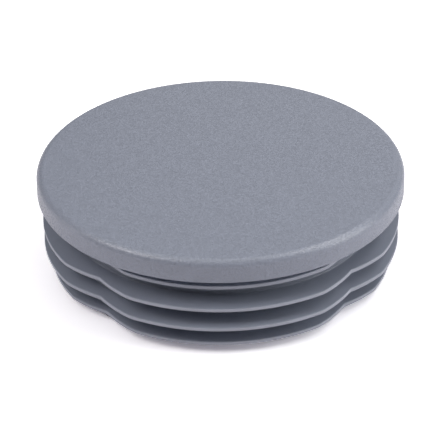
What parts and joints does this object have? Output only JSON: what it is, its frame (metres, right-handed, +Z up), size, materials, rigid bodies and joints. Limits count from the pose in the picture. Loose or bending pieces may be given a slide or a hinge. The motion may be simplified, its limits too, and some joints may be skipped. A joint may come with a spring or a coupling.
{
  "type": "tube end cap",
  "caption": "Round plastic cap with a flat grained head and a hollow stem ringed by thin notched fins, pushed into the end of a round tube to close it.",
  "frame": {"origin": "centre of the stem's lower rim, on the cap's axis, in the plane the cap stands on", "axes": "+Z up the axis from the stem to the head; +X and -Y each point along the middle of a fin lobe, so the notches lie at 45 degrees between X and Y"},
  "size_m": [0.1, 0.1, 0.03],
  "materials": {
    "grey_plastic": "blue-grey polyethylene, fine leather grain on the head and smooth satin on the stem and fins"
  },
  "bodies": {
    "root": {"end_cap": "grey_plastic"}
  },
  "joints": []
}
